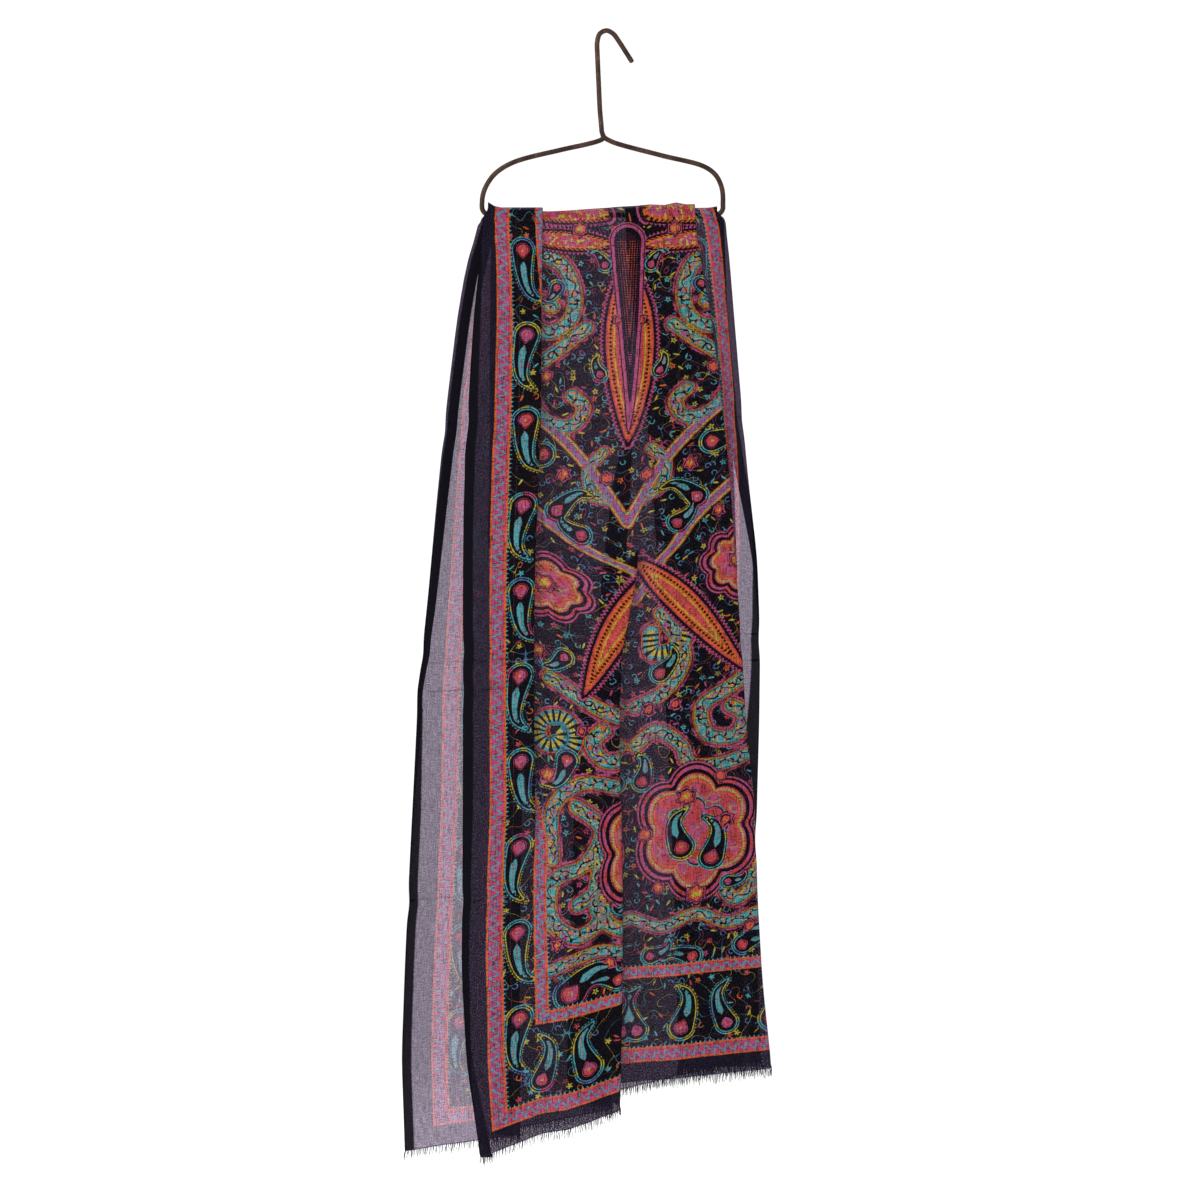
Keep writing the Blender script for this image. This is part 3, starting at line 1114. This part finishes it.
class SCARF_OT_hanger(bpy.types.Operator):
    """Bend the hanger from one length of round wire, with its end welded at the neck"""
    bl_idname = "scarf.hanger"
    bl_label = "Wire hanger"

    def execute(self, context):
        sizes = context.scene.hanger_sizes
        bpy.ops.object.select_all(action="DESELECT")
        line = bent(HANGER_LINE, 2.5)
        inward = (line[1] - line[0]) / np.linalg.norm(line[1] - line[0])
        thickness = [share for away, share in ROUNDED_TIP] + [1.0] * (len(line) - 1)
        line = [line[0] + inward * away for away, share in ROUNDED_TIP] + line[1:]
        points = []
        for i, here in enumerate(line):
            before, after = line[max(0, i - 1)], line[min(len(line) - 1, i + 1)]
            way = (after - before) / np.linalg.norm(after - before)
            out = np.array([-way[1], way[0]])
            r = sizes.wire / 2 * thickness[i]
            for angle in 2 * math.pi * np.arange(WIRE_SIDES) / WIRE_SIDES:
                across_line = out * r * math.cos(angle)
                points.append((here[0] * MM + across_line[0], r * math.sin(angle), here[1] * MM + across_line[1]))
        piece = one_mesh("wire_hanger", points, sleeve(0, len(line), WIRE_SIDES))
        bpy.ops.mesh.primitive_uv_sphere_add(
            segments=20, ring_count=12, radius=WELD_RADIUS * MM, location=(WELD[0] * MM, 0, WELD[1] * MM))
        bpy.context.view_layer.objects.active = piece
        piece.select_set(True)
        bpy.ops.object.join()
        bpy.ops.object.mode_set(mode="EDIT")
        bpy.ops.mesh.select_all(action="SELECT")
        bpy.ops.mesh.normals_make_consistent(inside=False)
        bpy.ops.object.mode_set(mode="OBJECT")
        bpy.ops.object.shade_smooth_by_angle(angle=math.radians(50))
        piece.data.materials.append(lacquer_finish(context.scene))
        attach(piece, "root")
        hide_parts("hanger_hook", "hanger_shoulder_right", "hanger_shoulder_left", "hanger_bar")
        return {"FINISHED"}


def lacquer_finish(scene):
    """Brown lacquer over steel wire, drawn marks along it, rubbed to bare metal in small places"""
    m = Finish("bronzed_wire")
    place = m.where()
    cloudy = m.noise(place, 60.0, 3.0, False)
    specks = m.noise(place, 700.0, 2.0, False)
    rubbed = specks.over(0.64, 0.03) * cloudy.over(0.50, 0.05)
    brown = tuple(scene.hanger_sizes.colour)
    dark = tuple(value * 0.45 for value in brown)
    colour = m.mix(cloudy.over(0.5, 0.12), dark, brown)
    colour = m.mix(rubbed * 0.6, colour, (0.16, 0.11, 0.08))
    bump = m.bump(specks * 0.6 + cloudy * 0.4, 0.0002, 0.4)
    return m.finish(Base_Color=colour, Roughness=0.30 + cloudy * 0.22 + specks * 0.08, Metallic=0.35 + rubbed * 0.5,
                    Normal=bump, Specular_IOR_Level=0.22)


# The stage, in metres: each lamp's name, place, size and power in watts, and the square that the camera sees.
LAMPS = (("key", (-1.9, -2.3, 0.9), 1.4, 62.0), ("fill", (2.2, -2.2, 0.2), 2.4, 14.0),
         ("rear", (0.8, 2.8, 0.6), 2.4, 46.0))
AIM_Z = -0.6
FLOOR_Z = -1.6
SENSOR = 36.0  # millimetres
CAMERA_AWAY = 3.5
FRAME_SIDE, FRAME_X, FRAME_Z = 1.236, -0.00618, -0.58401


class SCARF_OT_stage(bpy.types.Operator):
    """Pale floor, soft light and the straight front camera"""
    bl_idname = "scarf.stage"
    bl_label = "Floor, light and camera"

    def execute(self, context):
        scene = context.scene
        bpy.ops.object.select_all(action="DESELECT")
        bpy.ops.mesh.primitive_circle_add(vertices=64, radius=9.0, fill_type="NGON", location=(0, 0, FLOOR_Z))
        floor = context.object
        floor.name = "pale_floor"
        m = Finish("pale_floor")
        m.finish(Base_Color=(0.95, 0.95, 0.95), Roughness=0.9)
        floor.data.materials.append(m.material)
        world = bpy.data.worlds.new("pale_studio")
        world.use_nodes = True
        world.node_tree.nodes["Background"].inputs[0].default_value = (1, 1, 1, 1)
        world.node_tree.nodes["Background"].inputs[1].default_value = 1.08
        scene.world = world
        for name, place, size, power in LAMPS:
            lamp = bpy.data.lights.new(name, "AREA")
            lamp.size, lamp.energy = size, power
            thing = bpy.data.objects.new(name, lamp)
            thing.location = place
            aim = -np.array([place[0], place[1], place[2] - AIM_Z])
            thing.rotation_euler = (
                math.atan2(math.hypot(aim[0], aim[1]), -aim[2]), 0, math.atan2(aim[1], aim[0]) - math.pi / 2)
            scene.collection.objects.link(thing)
        lens = bpy.data.cameras.new("front_camera")
        camera = bpy.data.objects.new("front_camera", lens)
        scene.collection.objects.link(camera)
        lens.sensor_width = SENSOR
        lens.lens = SENSOR * CAMERA_AWAY / FRAME_SIDE
        camera.location = (FRAME_X, -CAMERA_AWAY, FRAME_Z)
        camera.rotation_euler = (math.pi / 2, 0, 0)
        scene.camera = camera
        scene.view_settings.view_transform = "Standard"
        return {"FINISHED"}


class SCARF_OT_declare(bpy.types.Operator):
    """Say what the sheet was cut to and what it hangs on"""
    bl_idname = "scarf.declare"
    bl_label = "Declare the sheet"

    def execute(self, context):
        return {"FINISHED"}


class SCARF_PT_panel(bpy.types.Panel):
    """Sidebar panel with the scarf's pieces"""
    bl_idname = "SCARF_PT_panel"
    bl_label = "Scarf on a hanger"
    bl_space_type = "VIEW_3D"
    bl_region_type = "UI"
    bl_category = "Scarf"

    def draw(self, context):
        column = self.layout.column()
        for step in STEPS:
            column.operator(step)


SETTINGS = {"scarf_sizes": ScarfSizes, "scarf_colours": ScarfColours, "hanger_sizes": HangerSizes}
CLASSES = (*SETTINGS.values(), SCARF_OT_hanger, SCARF_OT_cloth, SCARF_OT_fringe, SCARF_OT_declare, SCARF_OT_stage,
           SCARF_PT_panel)
STEPS = ("scarf.hanger", "scarf.cloth", "scarf.fringe", "scarf.declare", "scarf.stage")


def register():
    for kind in CLASSES:
        bpy.utils.register_class(kind)
    for name, kind in SETTINGS.items():
        setattr(bpy.types.Scene, name, bpy.props.PointerProperty(type=kind))


def unregister():
    for name in SETTINGS:
        delattr(bpy.types.Scene, name)
    for kind in reversed(CLASSES):
        bpy.utils.unregister_class(kind)


def main():
    register()
    bpy.ops.scarf.hanger()
    bpy.ops.scarf.cloth()
    bpy.ops.scarf.fringe()
    bpy.ops.scarf.declare()
    bpy.ops.scarf.stage()


if __name__ == "__main__":
    main()
